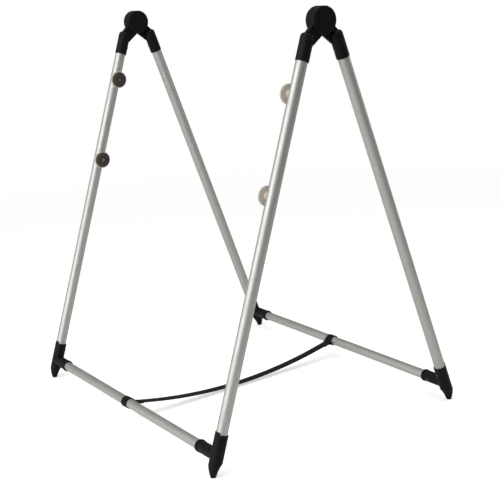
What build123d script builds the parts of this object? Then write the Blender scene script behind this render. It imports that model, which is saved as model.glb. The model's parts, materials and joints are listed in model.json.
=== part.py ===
"""Folding sawhorse: two tube A-frames with moulded heads and feet, two crossbars and a limiter strap.

Millimetres, +Z up, +X along the crossbars. The origin is on the floor, in the middle of the four
feet. The front frame leans towards -Y and the rear frame towards +Y. They turn about one line,
parallel to X, that runs through the bolts in both heads. The stand is drawn fully open.
"""

from build123d import *
from math import cos, hypot, radians, sin
import os

# overall sizes
pin_height = 784.0  # hinge line above the floor
frame_spacing = 700.0  # between the centre planes of the left and right A-frames
open_angle = 37.2  # between the front and rear legs
leg_offset = 22.0  # leg axis to the hinge line, square to the leg

# tubes
leg_diameter = 22.0
bar_diameter = 19.0
tube_wall = 1.5
tube_clearance = 0.1  # radial, tube in its socket

# heads: each arm is a lap on the hinge line, a web and a socket for the leg
hub_radius = 25.0
hub_edge = 1.5
lap_proud = 0.3  # lap's outer face past the side of the socket
lap_gap = 0.6  # between the two laps, holds the washer
shoulder_gap = 2.9  # lap of the other arm to the top of the socket
shoulder_radius = 8.0
socket_length = 51.0
socket_top_wall = 11.5  # above the tube's upper end
mouth_slant = 0.6  # the mouth is shorter on its outer side
socket_outer_wall = 1.0  # on the side away from the other frame
socket_inner_wall = 2.0  # on the side towards the other frame
web_thickness = 8.0  # beside the lap gap
web_edge = 2.5
web_overlap = 1.0  # corners of the web inside the lap's rim
web_start = radians(30)  # its outer corner on the lap, from square to the leg
web_knee = 19.5  # top of the socket down to where the web meets its inner side
web_end = 31.5  # top of the socket down to where the web ends inside it

# hinge bolts, nuts, washers and caps
bolt_radius = 3.0
bolt_clearance = 0.05
nut_flats = 10.0  # across flats, bolt head and nut alike
head_height = 4.0
nut_height = 3.6
end_play = 0.1  # nut to the arm that turns under it, head to its cap
pocket_radius = 6.6
washer_radius = 11.0
washer_bore = 3.3
washer_thickness = 0.4
cap_radius = 12.5
cap_thickness = 2.2
cap_edge = 0.7
cap_seat = 1.2  # depth of the cap's seat in the lap
cap_clearance = 0.1

# feet
bar_height = 39.0  # bar axis above the floor
foot_collar = 39.5  # from the bar axis up the leg to the mouth of the leg socket
leg_end = 12.0  # from the bar axis down the leg to the tube's lower end
bar_socket_length = 60.0  # from the leg plane to the mouth of the bar socket
bar_socket_wall = 2.0
bar_collar_length = 6.0
bar_collar_height = 0.8
bar_mouth_edge = 1.8
bar_stop = 14.5  # bar's end to the leg plane
toe_drop = 15.0  # from the bar axis down to where the socket turns into the toe
toe_radius = 8.8  # half way down the toe
sole_radius = 5.0
sole_edge = 1.5  # the flat inside it stands on the floor
sole_inset = 2.0  # the sole's outer side behind the toe's
horn_height = 4.0  # lip on the outer side of the foot's mouth
horn_length = 2.4
notch_depth = 2.5  # V beside the lip

# bumpers on the facing sides of the front legs
bumper_places = (138.0, 322.0)  # down the leg from the hinge line
bumper_radius = 18.5
bumper_edge = 1.2
bumper_boss_radius = 8.5
bumper_face = 15.5  # leg axis to the back of the bumper disc
bumper_thickness = 4.5
pad_radius = 16.5
pad_edge = 1.0
pad_height = 6.0
pad_crown_radius = 6.5
screw_radius = 1.75
screw_clearance = 0.1
screw_head_radius = 3.6
screw_head_height = 1.6
screw_seat_radius = 4.0
screw_seat_height = 2.5  # above the pad's back
screw_tip = 3.0  # past the inside of the tube's wall

# rivets that hold the tubes in their sockets
rivet_radius = 2.0
rivet_clearance = 0.05
rivet_head_radius = 3.6
rivet_head_height = 1.2
rivet_taper = 30.0
rivet_tail_radius = 2.8
rivet_tail_length = 2.5
rivet_tail_gap = 0.6  # the tail's flat seat to the round inside of the tube
spot_depth = 0.6  # flat seat for the head in a round wall
spot_clearance = 0.3
arm_rivet_inset = 17.0  # from the mouth of each socket
foot_rivet_inset = 15.0
bar_rivet_inset = 20.0

# limiter strap
strap_width = 20.0
strap_thickness = 1.6
strap_low_point = 6.0  # middle of the webbing above the floor, at its lowest
strap_front_x = 4.0  # middle of the loop on the front bar
strap_rear_x = -28.0  # middle of the loop on the rear bar
loop_clearance = 0.3
sewn_clearance = 3.0  # doubled webbing to the other bar when the stand is folded
strap_gap = 0.3  # strap to the loop that moves away when folding

# worked out from the sizes above
lean = radians(open_angle / 2)
leg_radius = leg_diameter / 2
bar_radius = bar_diameter / 2
leg_bore = leg_radius + tube_clearance
bar_bore = bar_radius + tube_clearance
socket_radius = leg_bore + (socket_outer_wall + socket_inner_wall) / 2
socket_shift = (socket_inner_wall - socket_outer_wall) / 2
outer_edge = leg_offset - socket_shift + socket_radius  # socket's sides to the hinge line
inner_edge = leg_offset - socket_shift - socket_radius
bar_socket_radius = bar_bore + bar_socket_wall
bar_down = (pin_height - bar_height + leg_offset * sin(lean)) / cos(lean)
bar_reach = leg_offset * cos(lean) + bar_down * sin(lean)
foot_mouth = bar_down - foot_collar
foot_end = bar_down + leg_end
toe_height = bar_height - toe_drop
lap_face = socket_radius + lap_proud
lap_thickness = lap_face - lap_gap / 2
shoulder_down = hub_radius + lap_gap + shoulder_gap  # down the leg from the hinge line
web_corner = hub_radius - web_overlap
leg_top = shoulder_down + socket_top_wall
arm_length = shoulder_down + socket_length
cap_floor = lap_face - cap_seat
pocket_floor = cap_floor - end_play - head_height
bumper_back = bumper_face + bumper_thickness
loop_radius = bar_radius + loop_clearance + strap_thickness
strap_skew = strap_rear_x - strap_front_x
strap_span = hypot(2 * bar_reach, strap_skew)
strap_sag = bar_height - strap_low_point
strap_curve = (strap_span**2 / 4 + strap_sag**2) / (2 * strap_sag)
sewn_end = 2 * leg_offset - bar_radius - sewn_clearance
plane_of = {"left": -frame_spacing / 2, "right": frame_spacing / 2}
inward_of = {"left": 1, "right": -1}
opposite = {"left": "right", "right": "left"}


def save(shape, label):
    """Labels one finished piece and writes its file."""
    shape.label = label
    export_step(shape, f"parts/{label}.step")


def turned(shape):
    """The same piece in the rear frame: half a turn about the middle of the stand."""
    return shape.rotate(Axis.Z, 180)


# Places on the front frame. The rear frame's pieces are made here too and then turned.


def down_plane(x, inward, down):
    """Square to the leg: +Z runs down the leg, +Y away from the rear frame."""
    out = leg_offset - inward
    y = -out * cos(lean) - down * sin(lean)
    z = pin_height + out * sin(lean) - down * cos(lean)
    return Plane(origin=(x, y, z), x_dir=(1, 0, 0), z_dir=(0, -sin(lean), -cos(lean)))


def side_plane(x):
    """Seen from +X, on the hinge line: +X towards the rear frame, +Y up the leg."""
    return Plane(origin=(x, 0, pin_height), x_dir=(0, cos(lean), -sin(lean)), z_dir=(1, 0, 0))


def rear_facing_plane(x, inward, down):
    """Facing the rear frame at a distance from the leg's axis, +Z pointing at the rear frame."""
    at = down_plane(x, inward, down).origin
    return Plane(origin=at, x_dir=(1, 0, 0), z_dir=(0, cos(lean), -sin(lean)))


def bumper_plane(x, inward, down):
    """On the leg's axis, +Z towards the other A-frame."""
    at = down_plane(x, 0, down).origin
    return Plane(origin=at, x_dir=(0, 0, 1), z_dir=(inward, 0, 0))


def reach_at(out, height):
    """How far in front of the hinge line a line beside the leg is, at a height."""
    return out * cos(lean) + (pin_height - height + out * sin(lean)) * sin(lean) / cos(lean)


def arm_rivet(x):
    inward = leg_bore + socket_inner_wall - spot_depth
    return rear_facing_plane(x, inward, arm_length - arm_rivet_inset)


def foot_rivet(x):
    inward = leg_bore + socket_inner_wall - spot_depth
    return rear_facing_plane(x, inward, foot_mouth + foot_rivet_inset)


def bar_rivet(x, inward):
    along = x + inward * (bar_socket_length - bar_rivet_inset)
    return rear_facing_plane(along, bar_socket_radius - spot_depth, bar_down)


def make_leg(x, inward, bumpers):
    """A leg tube, drilled for its rivets and for the screws of its bumpers."""
    with BuildPart() as leg:
        with BuildSketch(down_plane(x, 0, leg_top)):
            Circle(leg_radius)
            Circle(leg_radius - tube_wall, mode=Mode.SUBTRACT)
        extrude(amount=foot_end - leg_top)
        for seat in (arm_rivet(x), foot_rivet(x)):
            with BuildSketch(seat):
                Circle(rivet_radius + rivet_clearance)
            extrude(amount=-leg_radius, mode=Mode.SUBTRACT)
        for down in bumpers:
            with BuildSketch(bumper_plane(x, inward, down)):
                Circle(screw_radius + screw_clearance)
            extrude(amount=leg_diameter, mode=Mode.SUBTRACT)
    return leg.part


def make_bar():
    """A crossbar tube between two feet, drilled for its rivets."""
    half = frame_spacing / 2 - bar_stop
    with BuildPart() as bar:
        with BuildSketch(Plane(origin=(-half, -bar_reach, bar_height), z_dir=(1, 0, 0))):
            Circle(bar_radius)
            Circle(bar_radius - tube_wall, mode=Mode.SUBTRACT)
        extrude(amount=2 * half)
        for name, x in plane_of.items():
            with BuildSketch(bar_rivet(x, inward_of[name])):
                Circle(rivet_radius + rivet_clearance)
            extrude(amount=-bar_radius, mode=Mode.SUBTRACT)
    return bar.part


def make_arm(x):
    """Half of a head: a lap on the hinge line, a web and the socket for the leg."""
    hinge = side_plane(x)
    socket_centre = leg_offset - socket_shift
    with BuildPart() as arm:
        # web between the lap and the socket, with its crotch under the lowest point of the lap
        with BuildSketch(hinge.offset(lap_gap / 2)):
            with BuildLine():
                Polyline(
                    (0, 0),
                    (-web_corner * cos(web_start), -web_corner * sin(web_start)),
                    (-outer_edge + shoulder_radius / 2, -shoulder_down - web_edge),
                    (-socket_centre, -shoulder_down - web_end),
                    (-inner_edge, -shoulder_down - web_knee),
                    (web_corner * sin(lean), -web_corner * cos(lean)),
                    close=True,
                )
            make_face()
        extrude(amount=web_thickness)
        fillet(arm.faces().sort_by(Axis.X)[-1].edges(), web_edge)
        # socket with a round shoulder
        with BuildSketch(hinge) as section:
            with Locations((-socket_centre, -arm_length)):
                Rectangle(socket_radius, socket_length, align=(Align.MAX, Align.MIN))
            fillet(section.vertices().group_by(Axis.Y)[-1].sort_by(Axis.X)[0], shoulder_radius)
        revolve(axis=Axis(down_plane(x, socket_shift, 0).origin, (0, sin(lean), cos(lean))))
        # lap
        with BuildSketch(hinge.offset(lap_gap / 2)):
            Circle(hub_radius)
        extrude(amount=lap_thickness)
        fillet(arm.edges().filter_by(GeomType.CIRCLE).sort_by(Axis.X)[-1], hub_edge)
        # slanted mouth
        with BuildSketch(hinge.offset(-2 * socket_radius)):
            with BuildLine():
                Polyline(
                    (-inner_edge, -arm_length),
                    (-outer_edge, -arm_length + mouth_slant),
                    (-outer_edge - leg_radius, -arm_length + mouth_slant),
                    (-outer_edge - leg_radius, -arm_length - mouth_slant),
                    close=True,
                )
            make_face()
        extrude(amount=4 * socket_radius, mode=Mode.SUBTRACT)
        # bores: leg, cap seat, head pocket and bolt
        with BuildSketch(down_plane(x, 0, leg_top)):
            Circle(leg_bore)
        extrude(amount=arm_length, mode=Mode.SUBTRACT)
        with BuildSketch(hinge.offset(lap_face)):
            Circle(cap_radius + cap_clearance)
        extrude(amount=-cap_seat, mode=Mode.SUBTRACT)
        with BuildSketch(hinge.offset(cap_floor)):
            Circle(pocket_radius)
        extrude(amount=pocket_floor - cap_floor, mode=Mode.SUBTRACT)
        with BuildSketch(hinge):
            Circle(bolt_radius + bolt_clearance)
        extrude(amount=lap_face, mode=Mode.SUBTRACT)
        # flat seat and hole for the rivet
        with BuildSketch(arm_rivet(x)):
            Circle(rivet_head_radius + spot_clearance)
        extrude(amount=2 * spot_depth, mode=Mode.SUBTRACT)
        with BuildSketch(arm_rivet(x)):
            Circle(rivet_radius + rivet_clearance)
        extrude(amount=-leg_radius, mode=Mode.SUBTRACT)
    return arm.part


def make_cap(x):
    """The round cap in its seat over the bolt's head or nut."""
    with BuildPart() as cap:
        with BuildSketch(side_plane(x).offset(cap_floor)):
            Circle(cap_radius)
        extrude(amount=cap_thickness)
        fillet(cap.faces().sort_by(Axis.X)[-1].edges(), cap_edge)
    return cap.part


def make_foot(x, inward):
    """A foot: sockets for the leg and the bar, and a toe with a small flat sole."""
    toe_front = -reach_at(outer_edge, toe_height)
    toe_middle = -reach_at(leg_offset - socket_shift, toe_height)
    bar_axis = Plane(origin=(x, -bar_reach, bar_height), x_dir=(0, 1, 0), z_dir=(inward, 0, 0))
    with BuildPart() as foot:
        # socket round the leg, cut level where the toe begins
        with BuildSketch(down_plane(x, socket_shift, foot_mouth - horn_height)):
            Circle(socket_radius)
        extrude(amount=horn_height + foot_collar + 2 * bar_height)
        with BuildSketch(Plane.XY.offset(toe_height)):
            with Locations((x, toe_front)):
                Rectangle(4 * leg_diameter, 8 * bar_height)
        extrude(amount=-4 * bar_height, mode=Mode.SUBTRACT)
        # toe: upright in front, and it narrows to the sole
        with BuildSketch(Plane.XY.offset(toe_height)):
            with Locations((x, toe_middle)):
                Ellipse(socket_radius, socket_radius / cos(lean))
        with BuildSketch(Plane.XY.offset(toe_height / 2)):
            with Locations((x, toe_front + toe_radius)):
                Circle(toe_radius)
        with BuildSketch(Plane.XY):
            with Locations((x, toe_front + sole_inset + sole_radius)):
                Circle(sole_radius)
        loft()
        fillet(foot.faces().sort_by(Axis.Z)[0].edges(), sole_edge)
        # socket round the bar, with a collar at its mouth
        with BuildSketch(bar_axis):
            Circle(bar_socket_radius)
        extrude(amount=bar_socket_length)
        with BuildSketch(bar_axis.offset(bar_socket_length - bar_collar_length)):
            Circle(bar_socket_radius + bar_collar_height)
        extrude(amount=bar_collar_length)
        mouth = foot.faces().sort_by(Axis(bar_axis.origin, bar_axis.z_dir))[-1]
        fillet(mouth.edges(), bar_mouth_edge)
        # mouth of the leg socket: a lip on the outer side with a shallow V beside it
        with BuildSketch(side_plane(x).offset(-2 * socket_radius)):
            with BuildLine():
                Polyline(
                    (0, -foot_mouth),
                    (-leg_offset - leg_radius + 2 * horn_length, -foot_mouth),
                    (-leg_offset - leg_radius + horn_length, -foot_mouth - notch_depth),
                    (-leg_offset - leg_radius + horn_length / 2, -foot_mouth + 2 * horn_height),
                    (0, -foot_mouth + 2 * horn_height),
                    close=True,
                )
            make_face()
        extrude(amount=4 * socket_radius, mode=Mode.SUBTRACT)
        # bores
        with BuildSketch(down_plane(x, 0, foot_mouth - 2 * horn_height)):
            Circle(leg_bore)
        extrude(amount=foot_end - foot_mouth + 2 * horn_height, mode=Mode.SUBTRACT)
        with BuildSketch(bar_axis.offset(bar_stop)):
            Circle(bar_bore)
        extrude(amount=bar_socket_length, mode=Mode.SUBTRACT)
        # flat seat and hole for each rivet
        for seat in (foot_rivet(x), bar_rivet(x, inward)):
            with BuildSketch(seat):
                Circle(rivet_head_radius + spot_clearance)
            extrude(amount=2 * spot_depth, mode=Mode.SUBTRACT)
            with BuildSketch(seat):
                Circle(rivet_radius + rivet_clearance)
            extrude(amount=-leg_radius, mode=Mode.SUBTRACT)
    return foot.part


def make_rivets():
    """The rivets of one frame: head outside, shank through both walls, tail inside the tube."""
    tube_depth = tube_clearance + tube_wall + rivet_tail_gap - spot_depth
    leg_depth = socket_inner_wall + tube_depth
    bar_depth = bar_socket_wall + tube_depth
    seats = []
    for name, x in plane_of.items():
        seats.append((arm_rivet(x), leg_depth))
        seats.append((foot_rivet(x), leg_depth))
        seats.append((bar_rivet(x, inward_of[name]), bar_depth))
    with BuildPart() as rivets:
        for seat, depth in seats:
            with BuildSketch(seat.offset(-depth)):
                Circle(rivet_radius)
            extrude(amount=depth)
            with BuildSketch(seat):
                Circle(rivet_head_radius)
            extrude(amount=rivet_head_height, taper=rivet_taper)
            with BuildSketch(seat.offset(-depth)):
                Circle(rivet_tail_radius)
            extrude(amount=-rivet_tail_length)
    return rivets.part


def make_bumper_disc(x, inward, down):
    """The stiff disc of a bumper: a boss shaped to the leg, and a flange."""
    axis = bumper_plane(x, inward, down)
    with BuildPart() as disc:
        with BuildSketch(axis.offset(bumper_face)):
            Circle(bumper_radius)
        extrude(amount=bumper_thickness)
        fillet(disc.edges().filter_by(GeomType.CIRCLE), bumper_edge)
        with BuildSketch(axis):
            Circle(bumper_boss_radius)
        extrude(amount=bumper_face)
        with BuildSketch(down_plane(x, 0, down - bumper_radius)):
            Circle(leg_bore)
        extrude(amount=2 * bumper_radius, mode=Mode.SUBTRACT)
        with BuildSketch(axis):
            Circle(screw_radius + screw_clearance)
        extrude(amount=bumper_back, mode=Mode.SUBTRACT)
    return disc.part


def make_bumper_pad(x, inward, down):
    """The domed pad on a bumper disc, with a sunk seat for its screw."""
    centre = down_plane(x, 0, down).origin
    hole = screw_radius + screw_clearance
    shoulder = bumper_back + pad_edge
    crown = bumper_back + pad_height
    seat = bumper_back + screw_seat_height
    with BuildPart() as pad:
        with BuildSketch(Plane(origin=centre, x_dir=(0, 0, 1), z_dir=(0, inward, 0))):
            with BuildLine():
                Polyline((hole, bumper_back), (pad_radius, bumper_back), (pad_radius, shoulder))
                TangentArc((pad_crown_radius, crown), (pad_radius, shoulder), tangent=(1, 0))
                Polyline(
                    (pad_crown_radius, crown),
                    (screw_seat_radius, crown),
                    (screw_seat_radius, seat),
                    (hole, seat),
                    (hole, bumper_back),
                )
            make_face()
        revolve(axis=Axis(centre, (inward, 0, 0)))
    return pad.part


def make_bumper_screws():
    """The screws that hold the bumpers on both front legs."""
    tip = leg_radius - tube_wall - screw_tip
    seat = bumper_back + screw_seat_height
    with BuildPart() as screws:
        for name, x in plane_of.items():
            for down in bumper_places:
                axis = bumper_plane(x, inward_of[name], down)
                with BuildSketch(axis.offset(tip)):
                    Circle(screw_radius)
                extrude(amount=seat - tip)
                with BuildSketch(axis.offset(seat)):
                    Circle(screw_head_radius)
                extrude(amount=screw_head_height)
    return screws.part


def make_hinge_bolts():
    with BuildPart() as bolts:
        for x in plane_of.values():
            with BuildSketch(side_plane(x).offset(pocket_floor)):
                RegularPolygon(nut_flats / 2, 6, major_radius=False)
            extrude(amount=head_height)
            with BuildSketch(side_plane(x).offset(pocket_floor)):
                Circle(bolt_radius)
            extrude(amount=-2 * pocket_floor - end_play - nut_height)
    return bolts.part


def make_hinge_nuts():
    with BuildPart() as nuts:
        for x in plane_of.values():
            with BuildSketch(side_plane(x).offset(-pocket_floor - end_play)):
                RegularPolygon(nut_flats / 2, 6, major_radius=False)
                Circle(bolt_radius + bolt_clearance, mode=Mode.SUBTRACT)
            extrude(amount=-nut_height)
    return nuts.part


def make_hinge_washers():
    with BuildPart() as washers:
        for x in plane_of.values():
            with BuildSketch(side_plane(x).offset(-washer_thickness / 2)):
                Circle(washer_radius)
                Circle(washer_bore, mode=Mode.SUBTRACT)
            extrude(amount=washer_thickness)
    return washers.part


# The strap hangs in one upright plane, from the front bar's axis to the rear bar's axis.
strap_plane = Plane(
    origin=(strap_front_x, -bar_reach, 0),
    x_dir=(strap_skew, 2 * bar_reach, 0),
    z_dir=(2 * bar_reach, -strap_skew, 0),
)


def make_webbing(start, end, thickness):
    """The hanging webbing between two distances from the front bar's axis."""
    with BuildPart() as webbing:
        with BuildSketch(strap_plane.offset(-strap_width / 2)):
            with Locations((strap_span / 2, strap_low_point + strap_curve)):
                Circle(strap_curve + thickness / 2)
                Circle(strap_curve - thickness / 2, mode=Mode.SUBTRACT)
            with Locations(((start + end) / 2, bar_height / 2)):
                Rectangle(end - start, 2 * bar_height, mode=Mode.INTERSECT)
        extrude(amount=strap_width)
    return webbing.part


def make_strap_loop(x, y, start, end):
    """The strap's end: a ring round the bar and the doubled webbing that is sewn to it."""
    doubled = make_webbing(start, end, 2 * strap_thickness)
    with BuildPart() as loop:
        with BuildSketch(Plane(origin=(x - strap_width / 2, y, bar_height), z_dir=(1, 0, 0))):
            Circle(loop_radius)
        extrude(amount=strap_width)
        add(doubled)
        with BuildSketch(Plane(origin=(x - strap_width, y, bar_height), z_dir=(1, 0, 0))):
            Circle(bar_radius + loop_clearance)
        extrude(amount=2 * strap_width, mode=Mode.SUBTRACT)
    return loop.part


os.makedirs("parts", exist_ok=True)

for name, x in plane_of.items():
    inward = inward_of[name]
    front = f"front_{name}"
    rear = f"rear_{opposite[name]}"
    save(make_leg(x, inward, bumper_places), f"{front}_leg")
    save(turned(make_leg(x, inward, ())), f"{rear}_leg")
    for kind, piece in (("arm", make_arm(x)), ("cap", make_cap(x)), ("foot", make_foot(x, inward))):
        save(turned(piece), f"{rear}_{kind}")
        save(piece, f"{front}_{kind}")
    for level, down in zip(("upper", "lower"), bumper_places):
        save(make_bumper_disc(x, inward, down), f"{name}_{level}_bumper_disc")
        save(make_bumper_pad(x, inward, down), f"{name}_{level}_bumper_pad")

bar = make_bar()
save(turned(bar), "rear_bar")
save(bar, "front_bar")

rivets = make_rivets()
save(turned(rivets), "rear_rivets")
save(rivets, "front_rivets")

save(make_bumper_screws(), "bumper_screws")
save(make_hinge_bolts(), "hinge_bolts")
save(make_hinge_nuts(), "hinge_nuts")
save(make_hinge_washers(), "hinge_washers")

ring = bar_radius + loop_clearance
front_loop = make_strap_loop(strap_front_x, -bar_reach, ring, sewn_end)
rear_loop = make_strap_loop(strap_rear_x, bar_reach, strap_span - sewn_end, strap_span - ring)
save(front_loop, "front_strap_loop")
save(rear_loop, "rear_strap_loop")
strap = make_webbing(sewn_end, strap_span - sewn_end - strap_gap, strap_thickness)
save(strap, "limiter_strap")
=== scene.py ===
import json
import math

import bpy
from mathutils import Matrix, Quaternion, Vector


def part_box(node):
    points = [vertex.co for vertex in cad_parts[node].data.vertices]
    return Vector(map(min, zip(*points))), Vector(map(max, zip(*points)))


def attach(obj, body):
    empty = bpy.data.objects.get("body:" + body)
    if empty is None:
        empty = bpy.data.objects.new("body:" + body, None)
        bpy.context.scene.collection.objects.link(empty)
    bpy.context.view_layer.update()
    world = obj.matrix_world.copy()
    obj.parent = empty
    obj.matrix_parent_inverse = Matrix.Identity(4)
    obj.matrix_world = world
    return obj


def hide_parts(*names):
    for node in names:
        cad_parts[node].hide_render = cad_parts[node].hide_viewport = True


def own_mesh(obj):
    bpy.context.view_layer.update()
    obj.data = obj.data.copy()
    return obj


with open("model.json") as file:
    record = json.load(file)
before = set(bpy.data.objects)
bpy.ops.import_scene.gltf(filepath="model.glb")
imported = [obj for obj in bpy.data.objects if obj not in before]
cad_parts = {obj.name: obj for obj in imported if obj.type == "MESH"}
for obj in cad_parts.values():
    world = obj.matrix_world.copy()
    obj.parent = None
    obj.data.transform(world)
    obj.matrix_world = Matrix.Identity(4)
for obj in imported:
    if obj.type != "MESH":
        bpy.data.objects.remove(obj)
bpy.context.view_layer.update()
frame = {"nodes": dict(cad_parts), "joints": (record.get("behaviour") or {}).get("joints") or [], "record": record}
parts = frame["nodes"]
fold = frame["joints"][0]
lean = math.radians(fold["range_deg"][1]) / 2  # leg to upright: folded, the legs are parallel
print("frame loaded:", len(parts), "parts")

mm = 0.001


# sRGB hex to the linear colour that a shader takes
def colour(hexCode):
    channels = [int(hexCode[i:i + 2], 16) / 255 for i in (1, 3, 5)]
    linear = [c / 12.92 if c <= 0.04045 else ((c + 0.055) / 1.055) ** 2.4 for c in channels]
    return (*linear, 1)


# one node with its settings and inputs: an input takes a value or another node's output
def addNode(tree, kind, settings=None, inputs=None):
    node = tree.nodes.new(kind)
    for name, value in (settings or {}).items():
        setattr(node, name, value)
    for name, value in (inputs or {}).items():
        if isinstance(value, bpy.types.NodeSocket):
            tree.links.new(value, node.inputs[name])
        else:
            node.inputs[name].default_value = value
    return node


def newObject(name, data):
    made = bpy.data.objects.new(name, data)
    bpy.context.scene.collection.objects.link(made)
    return made


def newMaterial(name):
    material = bpy.data.materials.new(name)
    material.use_nodes = True
    material.node_tree.nodes.clear()
    return material, material.node_tree


# ends a material with a Principled shader that takes these inputs
def shade(tree, inputs):
    shader = addNode(tree, "ShaderNodeBsdfPrincipled", inputs=inputs)
    addNode(tree, "ShaderNodeOutputMaterial", inputs={"Surface": shader.outputs["BSDF"]})


# noise with features of about this size
def noise(tree, place, size, detail, rough=0.5):
    return addNode(tree, "ShaderNodeTexNoise", inputs={
        "Vector": place,
        "Scale": 1 / size,
        "Detail": detail,
        "Roughness": rough,
    }).outputs["Fac"]


# from the first colour at 0 to the second at 1
def blend(tree, factor, first, second):
    return addNode(tree, "ShaderNodeMix", {"data_type": "RGBA"}, {
        "Factor": factor,
        "A": first,
        "B": second,
    }).outputs["Result"]


def bumped(tree, height, depth):
    return addNode(tree, "ShaderNodeBump", inputs={
        "Height": height,
        "Strength": 1.0,
        "Distance": depth,
    }).outputs["Normal"]


# Clear anodised aluminium tube. Drawing leaves fine lines along the tube, etching and anodising
# turn the metal into an even satin, and handling leaves it a little glossier in patches.
anodised = {
    "metal": "#d2d2ce",
    "shade": "#c6c6c2",
    "roughness": 0.52,
    "glossier": 0.04,  # less roughness in a handled patch, and more outside it
    "duller": 0.05,
    "lineWidth": 1.1 * mm,  # real die lines are near 0.1 mm, too fine to show
    "lineLength": 160 * mm,
    "lineDepth": 0.012 * mm,
    "patch": 45 * mm,
}


def makeAnodised(name, turn):
    material, tree = newMaterial(name)
    place = addNode(tree, "ShaderNodeTexCoord").outputs["Object"]
    size = anodised["lineWidth"]
    lines = addNode(tree, "ShaderNodeMapping", {"vector_type": "TEXTURE"}, {
        "Vector": place,
        "Rotation": turn,
        "Scale": (size, size, anodised["lineLength"]),
    })
    drawn = noise(tree, lines.outputs["Vector"], size=1.0, detail=3.0, rough=0.6)
    satin = addNode(tree, "ShaderNodeMapRange", inputs={
        "Value": noise(tree, place, anodised["patch"], detail=4.0),
        "From Min": 0.35,
        "From Max": 0.7,
        "To Min": anodised["roughness"] - anodised["glossier"],
        "To Max": anodised["roughness"] + anodised["duller"],
    })
    shade(tree, {
        "Base Color": blend(tree, drawn, colour(anodised["shade"]), colour(anodised["metal"])),
        "Metallic": 1.0,
        "Roughness": satin.outputs["Result"],
        "Normal": bumped(tree, drawn, anodised["lineDepth"]),
    })
    return material


# Each is a solid colour with a fine grain from its mould or coating, rubbed paler on its edges.
moulded = {
    "black nylon, injection moulded": {
        "slot": "moulding",
        "face": "#0c0d0e",
        "mottle": "#121315",
        "worn": "#2c2d2f",
        "roughness": 0.5,
        "gloss": 0.16,  # the eroded grain traps most of the reflected light
        "grain": 1.3 * mm,  # a spark-eroded mould leaves 0.2 mm, too fine to show
        "grainDepth": 0.05 * mm,
        "edge": 0.8 * mm,
    },
    "warm grey polypropylene, injection moulded": {
        "slot": "bumper_disc",
        "face": "#d3ccbf",
        "mottle": "#cac3b5",
        "worn": "#ddd7cc",
        "roughness": 0.5,
        "gloss": 0.4,
        "grain": 1.5 * mm,
        "grainDepth": 0.03 * mm,
        "edge": 0.6 * mm,
    },
    "dark rubber, compression moulded": {
        "slot": "bumper_pad",
        "face": "#3b3830",
        "mottle": "#454138",
        "worn": "#545046",
        "roughness": 0.62,
        "gloss": 0.3,
        "grain": 1.6 * mm,
        "grainDepth": 0.05 * mm,
        "edge": 0.8 * mm,
    },
    "black rivet, powder coated": {
        "slot": "black_rivet",
        "face": "#151515",
        "mottle": "#1d1d1d",
        "worn": "#3a3a39",
        "roughness": 0.38,
        "gloss": 0.5,
        "grain": 0.8 * mm,
        "grainDepth": 0.02 * mm,
        "edge": 0.3 * mm,
    },
}


# what all of those have in common
rubbed = {
    "mottle": 14,  # size of the mottle, in grains
    "begins": 0.995,  # agreement of the rounded normal with the real one, where wear begins
    "ends": 0.85,
    "most": 0.45,  # of the worn colour
    "dulling": 0.07,  # of the roughness, up and down with the grain
}


def makeMoulded(name, look):
    material, tree = newMaterial(name)
    place = addNode(tree, "ShaderNodeTexCoord").outputs["Object"]
    grain = noise(tree, place, look["grain"], detail=2.0, rough=0.7)
    mottle = noise(tree, place, rubbed["mottle"] * look["grain"], detail=3.0)
    body = blend(tree, mottle, colour(look["face"]), colour(look["mottle"]))
    # an edge is where the rounded normal leaves the real one
    rounded = addNode(tree, "ShaderNodeBevel", {"samples": 4}, {"Radius": look["edge"]})
    flat = addNode(tree, "ShaderNodeNewGeometry")
    agree = addNode(tree, "ShaderNodeVectorMath", {"operation": "DOT_PRODUCT"}, {
        0: rounded.outputs["Normal"],
        1: flat.outputs["Normal"],
    })
    wear = addNode(tree, "ShaderNodeMapRange", inputs={
        "Value": agree.outputs["Value"],
        "From Min": rubbed["begins"],
        "From Max": rubbed["ends"],
        "To Min": 0.0,
        "To Max": rubbed["most"],
    })
    broken = addNode(tree, "ShaderNodeMath", {"operation": "MULTIPLY"}, {
        0: wear.outputs["Result"],
        1: mottle,
    })
    dull = addNode(tree, "ShaderNodeMapRange", inputs={
        "Value": grain,
        "To Min": look["roughness"] - rubbed["dulling"],
        "To Max": look["roughness"] + rubbed["dulling"],
    })
    shade(tree, {
        "Base Color": blend(tree, broken.outputs["Value"], body, colour(look["worn"])),
        "Roughness": dull.outputs["Result"],
        "IOR": 1.5,
        "Specular IOR Level": look["gloss"],
        "Normal": bumped(tree, grain, look["grainDepth"]),
    })
    return material


# Zinc plated steel, turned and rolled: a bright grey metal with a cloudy passivated skin.
zinc = {
    "bright": "#b9bbbd",
    "cloud": "#a3a49f",
    "roughness": 0.3,
    "glossier": 0.08,  # less roughness where it is bright, and more where it is cloudy
    "duller": 0.12,
    "patch": 3 * mm,
}


def makeZinc(name):
    material, tree = newMaterial(name)
    place = addNode(tree, "ShaderNodeTexCoord").outputs["Object"]
    clouds = noise(tree, place, zinc["patch"], detail=4.0)
    dull = addNode(tree, "ShaderNodeMapRange", inputs={
        "Value": clouds,
        "To Min": zinc["roughness"] - zinc["glossier"],
        "To Max": zinc["roughness"] + zinc["duller"],
    })
    shade(tree, {
        "Base Color": blend(tree, clouds, colour(zinc["bright"]), colour(zinc["cloud"])),
        "Metallic": 1.0,
        "Roughness": dull.outputs["Result"],
    })
    return material


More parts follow.
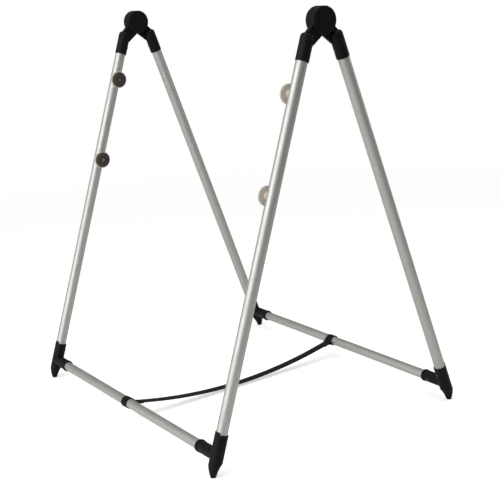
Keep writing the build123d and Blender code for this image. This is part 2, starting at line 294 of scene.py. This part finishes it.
# Black polypropylene webbing, woven: lengthways ribs of slanted yarns, dull with a soft sheen. Its grooves are
# coloured darker as painted shade.
weave = {
    "yarn": "#141416",
    # painted shade: the colour down in the grooves between ribs and yarns
    "valleyShade": "#070708",
    "roughness": 0.72,
    "rib": 2.5 * mm,
    "pick": 2.0 * mm,
    "slant": 0.8,
    "yarnShare": 0.6,  # of a rib's height that falls away between its yarns
    "depth": 0.18 * mm,
    "gloss": 0.2,
    "sheen": 0.04,
}


def makeWebbing(name):
    material, tree = newMaterial(name)

    def calc(kind, first, second=0.0):
        return addNode(tree, "ShaderNodeMath", {"operation": kind}, {0: first, 1: second}).outputs[0]

    across = addNode(tree, "ShaderNodeAttribute", {"attribute_name": "across"}).outputs["Fac"]
    along = addNode(tree, "ShaderNodeAttribute", {"attribute_name": "along"}).outputs["Fac"]
    ribs = calc("DIVIDE", across, weave["rib"])
    # 0 in the groove between two ribs, 1 on the crown of each
    crown = calc("PINGPONG", ribs, 0.5)
    swell = calc("POWER", calc("MULTIPLY", crown, 2.0), 0.5)
    picks = calc("ADD", calc("DIVIDE", along, weave["pick"]), calc("MULTIPLY", crown, weave["slant"]))
    yarns = calc("ABSOLUTE", calc("SINE", calc("MULTIPLY", picks, math.pi)))
    share = weave["yarnShare"]
    height = calc("MULTIPLY", swell, calc("ADD", calc("MULTIPLY", yarns, share), 1 - share))
    shade(tree, {
        # the grooves between ribs and yarns are coloured darker: painted shade
        "Base Color": blend(tree, height, colour(weave["valleyShade"]), colour(weave["yarn"])),
        "Roughness": weave["roughness"],
        "IOR": 1.49,
        "Specular IOR Level": weave["gloss"],
        "Sheen Weight": weave["sheen"],
        "Sheen Roughness": 0.4,
        "Normal": bumped(tree, height, weave["depth"]),
    })
    return material


# Black polyester thread, twisted: a little glossier than the webbing, with painted shade for the grooves of its
# twist.
thread = {"strand": "#26272a", "grooveShade": "#101113", "roughness": 0.5, "twist": 0.5 * mm}


def makeThread(name):
    material, tree = newMaterial(name)
    place = addNode(tree, "ShaderNodeTexCoord").outputs["Object"]
    strands = noise(tree, place, thread["twist"], detail=1.0)
    shade(tree, {
        # darker patches at the size of the twist: painted shade in the grooves between strands
        "Base Color": blend(tree, strands, colour(thread["grooveShade"]), colour(thread["strand"])),
        "Roughness": thread["roughness"],
        "IOR": 1.5,
    })
    return material


# the tube's own axis is the pattern's Z
tubeTurns = {
    "front_left_leg": (-lean, 0, 0),
    "front_right_leg": (-lean, 0, 0),
    "rear_left_leg": (lean, 0, 0),
    "rear_right_leg": (lean, 0, 0),
    "front_bar": (0, math.pi / 2, 0),
    "rear_bar": (0, math.pi / 2, 0),
}
tubeFinish = {}
for tubeTurn in dict.fromkeys(tubeTurns.values()):
    tubeFinish[tubeTurn] = makeAnodised("satin anodised aluminium, drawn", tubeTurn)
slotFinish = {look["slot"]: makeMoulded(name, look) for name, look in moulded.items()}
slotFinish["fastener"] = makeZinc("zinc plated steel, turned")
webbingFinish = makeWebbing("black polypropylene webbing, woven")
threadFinish = makeThread("black polyester thread, twisted")

for row in frame["record"]["subparts"]:
    name = row["node"]
    if name in tubeTurns:
        finish = tubeFinish[tubeTurns[name]]
    else:
        finish = slotFinish.get(row["material_slot"], webbingFinish)
    parts[name].data.materials.clear()
    parts[name].data.materials.append(finish)
print("materials:", len(bpy.data.materials))


# One strip of webbing. At each end it goes over the bar, comes back under itself and is sewn.
strap = {
    "width": 20 * mm,
    "thickness": 1.6 * mm,
    "edgeRound": 0.7 * mm,
    "step": 1.0 * mm,
    "loopKnots": 12,  # points that lead the curve round a bar, along a tail and along the span
    "tailKnots": 4,
    "spanKnots": 40,
    "barSlack": 0.3 * mm,
    "frontPlace": 4 * mm,  # along the bars, from their middle
    "rearPlace": -28 * mm,
    "seamStart": 19 * mm,  # from the bar's axis to where the two layers meet
    "foldedGap": 44 * mm,  # between the bars' axes when the stand is folded
}
half = strap["thickness"] / 2
frontBar = sum(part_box("front_bar"), Vector()) / 2
rearBar = sum(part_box("rear_bar"), Vector()) / 2
barRadius = (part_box("front_bar")[1].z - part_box("front_bar")[0].z) / 2
frontEnd = Vector((strap["frontPlace"], frontBar.y, frontBar.z))
rearEnd = Vector((strap["rearPlace"], rearBar.y, rearBar.z))
span = (rearEnd - frontEnd).length
sag = frontBar.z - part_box("limiter_strap")[0].z - half
hang = (span ** 2 / 4 + sag ** 2) / (2 * sag)  # radius of the arc that it hangs in
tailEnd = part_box("limiter_strap")[0].y - frontBar.y
forward = (rearEnd - frontEnd).normalized()
sideways = forward.cross(Vector((0, 0, 1)))


# a point of the strap: how far along the span, how far above the arc, and how far sideways
def strapPoint(reach, above, aside=0.0):
    away = reach - span / 2
    centre = frontEnd.z - sag + hang
    scale = (hang - above) / hang
    flat = span / 2 + away * scale
    z = centre - math.sqrt(hang ** 2 - away ** 2) * scale
    return frontEnd + forward * flat + sideways * aside + Vector((0, 0, z - frontEnd.z))


# the loop round the front bar, from the cut end of the lower layer to the end of the upper one
def loopPath():
    ring = barRadius + strap["barSlack"] + half
    sewn = tailEnd - strap["seamStart"]
    tail = [strap["seamStart"] + sewn * k / strap["tailKnots"] for k in range(strap["tailKnots"] + 1)]
    angles = []
    for above, side in ((half, 1), (-half, -1)):
        corner = strapPoint(tail[0], above) - frontEnd
        distance = math.hypot(corner.dot(forward), corner.z)
        direction = math.atan2(corner.z, corner.dot(forward))
        angles.append(direction + side * math.acos(ring / distance))
    top, bottom = angles[0], angles[1] + 2 * math.pi
    path = [strapPoint(reach, -half) for reach in reversed(tail)]
    count = strap["loopKnots"]
    for k in range(count + 1):
        angle = bottom + (top - bottom) * k / count
        path.append(frontEnd + forward * ring * math.cos(angle) + Vector((0, 0, ring * math.sin(angle))))
    path += [strapPoint(reach, half) for reach in tail]
    return path


# the same path at the other end of the strap
def acrossTheMiddle(path):
    middle = (frontEnd + rearEnd) / 2
    mirrored = []
    for point in path:
        away = (point - middle).dot(forward)
        mirrored.append(point - forward * 2 * away)
    return mirrored


def hangingPath():
    count = strap["spanKnots"]
    step = (span - 2 * tailEnd) / count
    return [strapPoint(tailEnd + step * k, half) for k in range(count + 1)]


def curveThrough(name, paths, smooth=True):
    curve = bpy.data.curves.new(name, "CURVE")
    curve.dimensions = "3D"
    for path in paths:
        spline = curve.splines.new("BEZIER" if smooth else "POLY")
        if smooth:
            spline.bezier_points.add(len(path) - 1)
            for knot, point in zip(spline.bezier_points, path):
                knot.co = point
                knot.handle_left_type = "AUTO"
                knot.handle_right_type = "AUTO"
        else:
            spline.points.add(len(path) - 1)
            for knot, point in zip(spline.points, path):
                knot.co = (*point, 1)
    return newObject(name, curve)


def newTree(name, sizes):
    tree = bpy.data.node_groups.new(name, "GeometryNodeTree")
    tree.interface.new_socket("Geometry", in_out="INPUT", socket_type="NodeSocketGeometry")
    for label, kind in sizes.items():
        tree.interface.new_socket(label, in_out="INPUT", socket_type=kind)
    tree.interface.new_socket("Geometry", in_out="OUTPUT", socket_type="NodeSocketGeometry")
    given = addNode(tree, "NodeGroupInput").outputs
    return tree, given


sharpAngle = math.radians(40)  # faces that turn more than this meet in a sharp edge


# runs a tree on an object with these sizes, and keeps the result as a plain mesh
def grown(source, tree, sizes, name):
    modifier = source.modifiers.new(tree.name, "NODES")
    modifier.node_group = tree
    for item in tree.interface.items_tree:
        if item.in_out == "INPUT" and item.name in sizes:
            modifier[item.identifier] = sizes[item.name]
    graph = bpy.context.evaluated_depsgraph_get()
    mesh = bpy.data.meshes.new_from_object(source.evaluated_get(graph), depsgraph=graph)
    mesh.name = name
    bpy.data.objects.remove(source)
    made = newObject(name, mesh)
    mesh.shade_smooth()
    mesh.set_sharp_from_angle(angle=sharpAngle)
    return made


# a flat strip with rounded edges that follows a curve, lying square to the side it is given
def webbingTree():
    tree, given = newTree("webbing", {
        "Width": "NodeSocketFloat",
        "Thickness": "NodeSocketFloat",
        "Edge Round": "NodeSocketFloat",
        "Step": "NodeSocketFloat",
        "Side": "NodeSocketVector",
        "Material": "NodeSocketMaterial",
    })
    even = addNode(tree, "GeometryNodeResampleCurve", {"mode": "LENGTH"}, {
        "Curve": given["Geometry"],
        "Length": given["Step"],
    })
    faced = addNode(tree, "GeometryNodeSetCurveNormal", {"mode": "FREE"}, {
        "Curve": even.outputs["Curve"],
        "Normal": given["Side"],
    })
    distance = addNode(tree, "GeometryNodeSplineParameter").outputs["Length"]
    route = addNode(tree, "GeometryNodeStoreNamedAttribute", {"data_type": "FLOAT"}, {
        "Geometry": faced.outputs["Curve"],
        "Name": "along",
        "Value": distance,
    })
    section = addNode(tree, "GeometryNodeCurvePrimitiveQuadrilateral", inputs={
        "Width": given["Width"],
        "Height": given["Thickness"],
    })
    soft = addNode(tree, "GeometryNodeFilletCurve", {"mode": "POLY"}, {
        "Curve": section.outputs["Curve"],
        "Count": 3,
        "Radius": given["Edge Round"],
    })
    position = addNode(tree, "GeometryNodeInputPosition").outputs["Position"]
    split = addNode(tree, "ShaderNodeSeparateXYZ", inputs={"Vector": position})
    profile = addNode(tree, "GeometryNodeStoreNamedAttribute", {"data_type": "FLOAT"}, {
        "Geometry": soft.outputs["Curve"],
        "Name": "across",
        "Value": split.outputs["X"],
    })
    strip = addNode(tree, "GeometryNodeCurveToMesh", inputs={
        "Curve": route.outputs["Geometry"],
        "Profile Curve": profile.outputs["Geometry"],
        "Fill Caps": True,
    })
    real = addNode(tree, "GeometryNodeRealizeInstances", inputs={"Geometry": strip.outputs["Mesh"]})
    painted = addNode(tree, "GeometryNodeSetMaterial", inputs={
        "Geometry": real.outputs["Geometry"],
        "Material": given["Material"],
    })
    addNode(tree, "NodeGroupOutput", inputs={"Geometry": painted.outputs["Geometry"]})
    return tree


webbingNodes = webbingTree()
frontLoop = loopPath()
strapPieces = {
    "frontLoopWebbing": (frontLoop, "front_frame", "front_strap_loop"),
    "rearLoopWebbing": (acrossTheMiddle(frontLoop), "rear_frame", "rear_strap_loop"),
    "hangingWebbing": (hangingPath(), "front_frame", "limiter_strap"),
}
strapMade = {}
for name, (path, body, node) in strapPieces.items():
    piece = grown(curveThrough(name + "Path", [path]), webbingNodes, {
        "Width": strap["width"],
        "Thickness": strap["thickness"],
        "Edge Round": strap["edgeRound"],
        "Step": strap["step"],
        "Side": tuple(sideways),
        "Material": webbingFinish,
    }, name)
    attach(piece, body)
    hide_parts(node)
    strapMade[name] = piece
print("strap:", {name: len(piece.data.polygons) for name, piece in strapMade.items()})

# A box with a cross in it is sewn through both layers, and shows on the top and underneath.
seam = {
    "inset": 2.2 * mm,  # from the webbing's edges and its cut end
    "stitch": 2.4 * mm,
    "gap": 0.5 * mm,
    "thread": 0.6 * mm,
    "sunk": 0.1 * mm,
    "knots": 8,  # along each line, to follow the webbing's curve
}


def seamPaths(rearward):
    nearest = strap["seamStart"] + seam["inset"] / 2
    farthest = tailEnd - seam["inset"]
    side = strap["width"] / 2 - seam["inset"]
    corners = [(nearest, -side), (nearest, side), (farthest, side), (farthest, -side)]
    lines = [(corners[k], corners[(k + 1) % 4]) for k in range(4)]
    lines += [(corners[0], corners[2]), (corners[1], corners[3])]
    paths = []
    for face in (1, -1):
        above = face * (strap["thickness"] - seam["sunk"])
        for (startReach, startSide), (endReach, endSide) in lines:
            path = []
            for k in range(seam["knots"] + 1):
                part = k / seam["knots"]
                reach = startReach + (endReach - startReach) * part
                aside = startSide + (endSide - startSide) * part
                path.append(strapPoint(reach, above, aside))
            paths.append(acrossTheMiddle(path) if rearward else path)
    return paths


# a row of stitches along every line of a seam
def stitchTree():
    tree, given = newTree("stitches", {
        "Stitch": "NodeSocketFloat",
        "Gap": "NodeSocketFloat",
        "Thread": "NodeSocketFloat",
        "Material": "NodeSocketMaterial",
    })
    pitch = addNode(tree, "ShaderNodeMath", {"operation": "ADD"}, {0: given["Stitch"], 1: given["Gap"]})
    places = addNode(tree, "GeometryNodeCurveToPoints", {"mode": "LENGTH"}, {
        "Curve": given["Geometry"],
        "Length": pitch.outputs[0],
    })
    bead = addNode(tree, "GeometryNodeMeshUVSphere", inputs={"Segments": 8, "Rings": 6, "Radius": 0.5})
    size = addNode(tree, "ShaderNodeCombineXYZ", inputs={
        "X": given["Thread"],
        "Y": given["Thread"],
        "Z": given["Stitch"],
    })
    laid = addNode(tree, "GeometryNodeInstanceOnPoints", inputs={
        "Points": places.outputs["Points"],
        "Instance": bead.outputs["Mesh"],
        "Rotation": places.outputs["Rotation"],
        "Scale": size.outputs["Vector"],
    })
    real = addNode(tree, "GeometryNodeRealizeInstances", inputs={"Geometry": laid.outputs["Instances"]})
    painted = addNode(tree, "GeometryNodeSetMaterial", inputs={
        "Geometry": real.outputs["Geometry"],
        "Material": given["Material"],
    })
    addNode(tree, "NodeGroupOutput", inputs={"Geometry": painted.outputs["Geometry"]})
    return tree


stitchNodes = stitchTree()
for name, body, rearward in (("frontSeam", "front_frame", False), ("rearSeam", "rear_frame", True)):
    piece = grown(curveThrough(name + "Lines", seamPaths(rearward), smooth=False), stitchNodes, {
        "Stitch": seam["stitch"],
        "Gap": seam["gap"],
        "Thread": seam["thread"],
        "Material": threadFinish,
    }, name)
    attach(piece, body)
    print(name + ":", len(piece.data.polygons), "faces")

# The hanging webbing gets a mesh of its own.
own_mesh(strapMade["hangingWebbing"])


studio = {
    "floor": "#f4f4f2",
    "floorGlow": 0.55,  # light that only the camera sees, so the floor stays near white
    "floorReach": 3.2,
    "floorDrop": 0.2 * mm,  # under the soles, so that no face lies in another
    "floorCorners": 64,
    "fadeStart": 1.3,  # the floor thins out to nothing between these distances
    "fadeEnd": 3.04,
    "backdrop": "#ffffff",
    "backdropStrength": 1.0,
    "ambient": "#cccccb",
    "ambientDark": 0.2,  # on the side away from the soft boxes
    "ambientBright": 0.62,
    "brightSide": (-0.45, -0.85, 0.25),
}


def makeFloorMaterial():
    material, tree = newMaterial("pale studio floor, matte")
    place = addNode(tree, "ShaderNodeTexCoord").outputs["Object"]
    distance = addNode(tree, "ShaderNodeVectorMath", {"operation": "LENGTH"}, {0: place})
    fade = addNode(tree, "ShaderNodeMapRange", {"interpolation_type": "SMOOTHSTEP"}, {
        "Value": distance.outputs["Value"],
        "From Min": studio["fadeStart"],
        "From Max": studio["fadeEnd"],
    })
    matte = addNode(tree, "ShaderNodeBsdfDiffuse", inputs={"Color": colour(studio["floor"])})
    seen = addNode(tree, "ShaderNodeLightPath").outputs["Is Camera Ray"]
    strength = addNode(tree, "ShaderNodeMath", {"operation": "MULTIPLY"}, {0: seen, 1: studio["floorGlow"]})
    glow = addNode(tree, "ShaderNodeEmission", inputs={"Strength": strength.outputs[0]})
    lit = addNode(tree, "ShaderNodeAddShader", inputs={
        0: matte.outputs["BSDF"],
        1: glow.outputs["Emission"],
    })
    clear = addNode(tree, "ShaderNodeBsdfTransparent")
    both = addNode(tree, "ShaderNodeMixShader", inputs={
        0: fade.outputs["Result"],
        1: lit.outputs["Shader"],
        2: clear.outputs["BSDF"],
    })
    addNode(tree, "ShaderNodeOutputMaterial", inputs={"Surface": both.outputs["Shader"]})
    return material


def makeFloor():
    mesh = bpy.data.meshes.new("floor")
    reach = studio["floorReach"]
    corners = studio["floorCorners"]
    angles = [2 * math.pi * k / corners for k in range(corners)]
    mesh.from_pydata([(reach * math.cos(a), reach * math.sin(a), 0) for a in angles], [], [range(corners)])
    mesh.materials.append(makeFloorMaterial())
    made = newObject("floor", mesh)
    made.location.z = -studio["floorDrop"]
    return made


# the camera sees a white backdrop, and the object an ambient light that is brighter on one side
def makeWorld():
    world = bpy.data.worlds.new("studio")
    world.use_nodes = True
    tree = world.node_tree
    tree.nodes.clear()
    backdrop = addNode(tree, "ShaderNodeBackground", inputs={
        "Color": colour(studio["backdrop"]),
        "Strength": studio["backdropStrength"],
    })
    direction = addNode(tree, "ShaderNodeTexCoord").outputs["Generated"]
    facing = addNode(tree, "ShaderNodeVectorMath", {"operation": "DOT_PRODUCT"}, {
        0: direction,
        1: studio["brightSide"],
    })
    strength = addNode(tree, "ShaderNodeMapRange", inputs={
        "Value": facing.outputs["Value"],
        "From Min": -1.0,
        "From Max": 1.0,
        "To Min": studio["ambientDark"],
        "To Max": studio["ambientBright"],
    })
    ambient = addNode(tree, "ShaderNodeBackground", inputs={
        "Color": colour(studio["ambient"]),
        "Strength": strength.outputs["Result"],
    })
    sky = addNode(tree, "ShaderNodeMixShader", inputs={
        0: addNode(tree, "ShaderNodeLightPath").outputs["Is Camera Ray"],
        1: ambient.outputs["Background"],
        2: backdrop.outputs["Background"],
    })
    addNode(tree, "ShaderNodeOutputWorld", inputs={"Surface": sky.outputs["Shader"]})
    return world


floor = makeFloor()
bpy.context.scene.world = makeWorld()

# soft boxes: azimuth as for the camera, where 0 stands in front of the front frame
lights = {
    "key": {"azimuth": 3, "height": 1.4, "distance": 2.6, "size": (3.2, 2.4), "watts": 50},
    "top": {"azimuth": 60, "height": 3.0, "distance": 0.4, "size": (2.4, 2.4), "watts": 24},
    "rim": {"azimuth": 160, "height": 1.3, "distance": 2.6, "size": (0.8, 1.8), "watts": 7},
}
aim = Vector((0, 0, 0.4))
for name, light in lights.items():
    lamp = bpy.data.lights.new(name, "AREA")
    lamp.shape = "RECTANGLE"
    lamp.size, lamp.size_y = light["size"]
    lamp.energy = light["watts"]
    box = newObject(name + "Light", lamp)
    angle = math.radians(light["azimuth"])
    away = light["distance"]
    box.location = (away * math.sin(angle), -away * math.cos(angle), light["height"])
    box.rotation_mode = "QUATERNION"
    box.rotation_quaternion = (aim - box.location).to_track_quat("-Z", "Y")
print("studio:", len(lights), "soft boxes")

view = {
    "place": (1.9506, -1.1982, 0.8562),
    "azimuth": 57.47,  # round the object from the front frame's side
    "elevation": 13.52,
    "roll": -3.53,
    "lens": 80.06,
}
camera = newObject("camera", bpy.data.cameras.new("camera"))
camera.location = view["place"]
camera.data.lens = view["lens"]
turn = math.radians(view["azimuth"])
rise = math.radians(view["elevation"])
back = Vector((math.sin(turn) * math.cos(rise), -math.cos(turn) * math.cos(rise), math.sin(rise)))
camera.rotation_mode = "QUATERNION"
level = (-back).to_track_quat("-Z", "Y")
camera.rotation_quaternion = level @ Quaternion((0, 0, 1), math.radians(view["roll"]))
bpy.context.scene.camera = camera
bpy.context.scene.view_settings.view_transform = "Standard"
